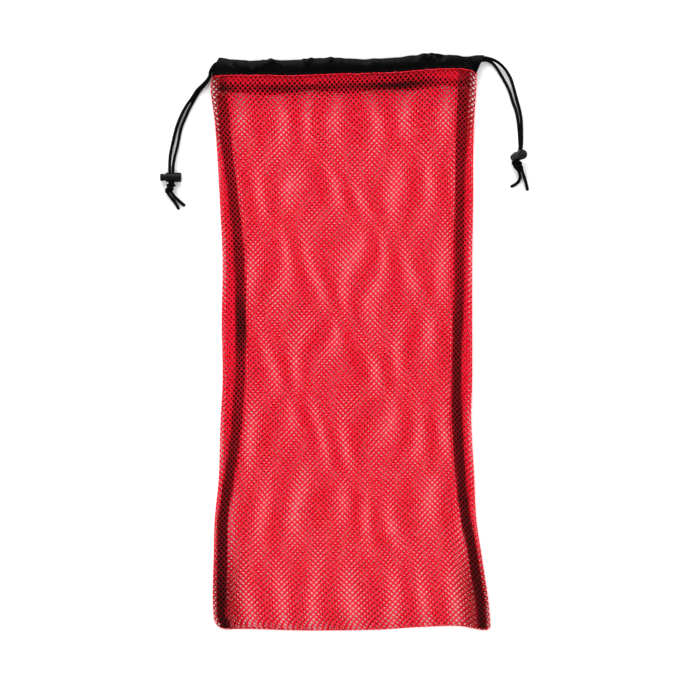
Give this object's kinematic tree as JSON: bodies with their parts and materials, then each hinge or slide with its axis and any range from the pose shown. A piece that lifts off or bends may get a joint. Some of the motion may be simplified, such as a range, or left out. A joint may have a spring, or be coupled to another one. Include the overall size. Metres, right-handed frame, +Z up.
{
  "type": "mesh drawstring gear bag",
  "caption": "Flat red mesh drawstring gear bag with a black hem at the mouth, bound side seams, drawcords at both sides and sprung cord locks.",
  "frame": {"origin": "on the floor under the middle of the bag's box, measured without the cords", "axes": "+Z up from the floor; +Y from the bottom fold towards the mouth, along the bag; +X to the right across the front panel"},
  "size_m": [0.4236, 0.6603, 0.0258],
  "materials": {
    "net": "open knitted polyester net, satin",
    "hem": "woven nylon with a slight sheen",
    "tape": "matt binding tape",
    "cord": "braided cord, matt",
    "lock": "moulded, slight sheen"
  },
  "bodies": {
    "bag": {"net_body": "net", "casing_front": "hem", "casing_back": "hem", "drawcord_front": "cord", "drawcord_back": "cord", "seam_allowance_left": "net", "seam_allowance_right": "net", "side_binding_left": "tape", "side_binding_right": "tape", "cord_left_front": "cord", "cord_left_back": "cord", "tail_left_front": "cord", "tail_left_back": "cord", "knot_left": "cord", "lock_barrel_left": "lock", "cord_right_front": "cord", "cord_right_back": "cord", "tail_right_front": "cord", "tail_right_back": "cord", "knot_right": "cord", "lock_barrel_right": "lock"},
    "plunger_left": {"lock_plunger_left": "lock"},
    "plunger_right": {"lock_plunger_right": "lock"}
  },
  "joints": [
    {"name": "plunger_left_slide", "type": "slide", "parent": "bag", "child": "plunger_left", "axis": [1, 0, 0], "range_m": [0, 0.003], "stiffness_N_per_m": 20},
    {"name": "plunger_right_slide", "type": "slide", "parent": "bag", "child": "plunger_right", "axis": [0.4082, 0.1094, 0.9063], "range_m": [0, 0.003], "stiffness_N_per_m": 20}
  ]
}
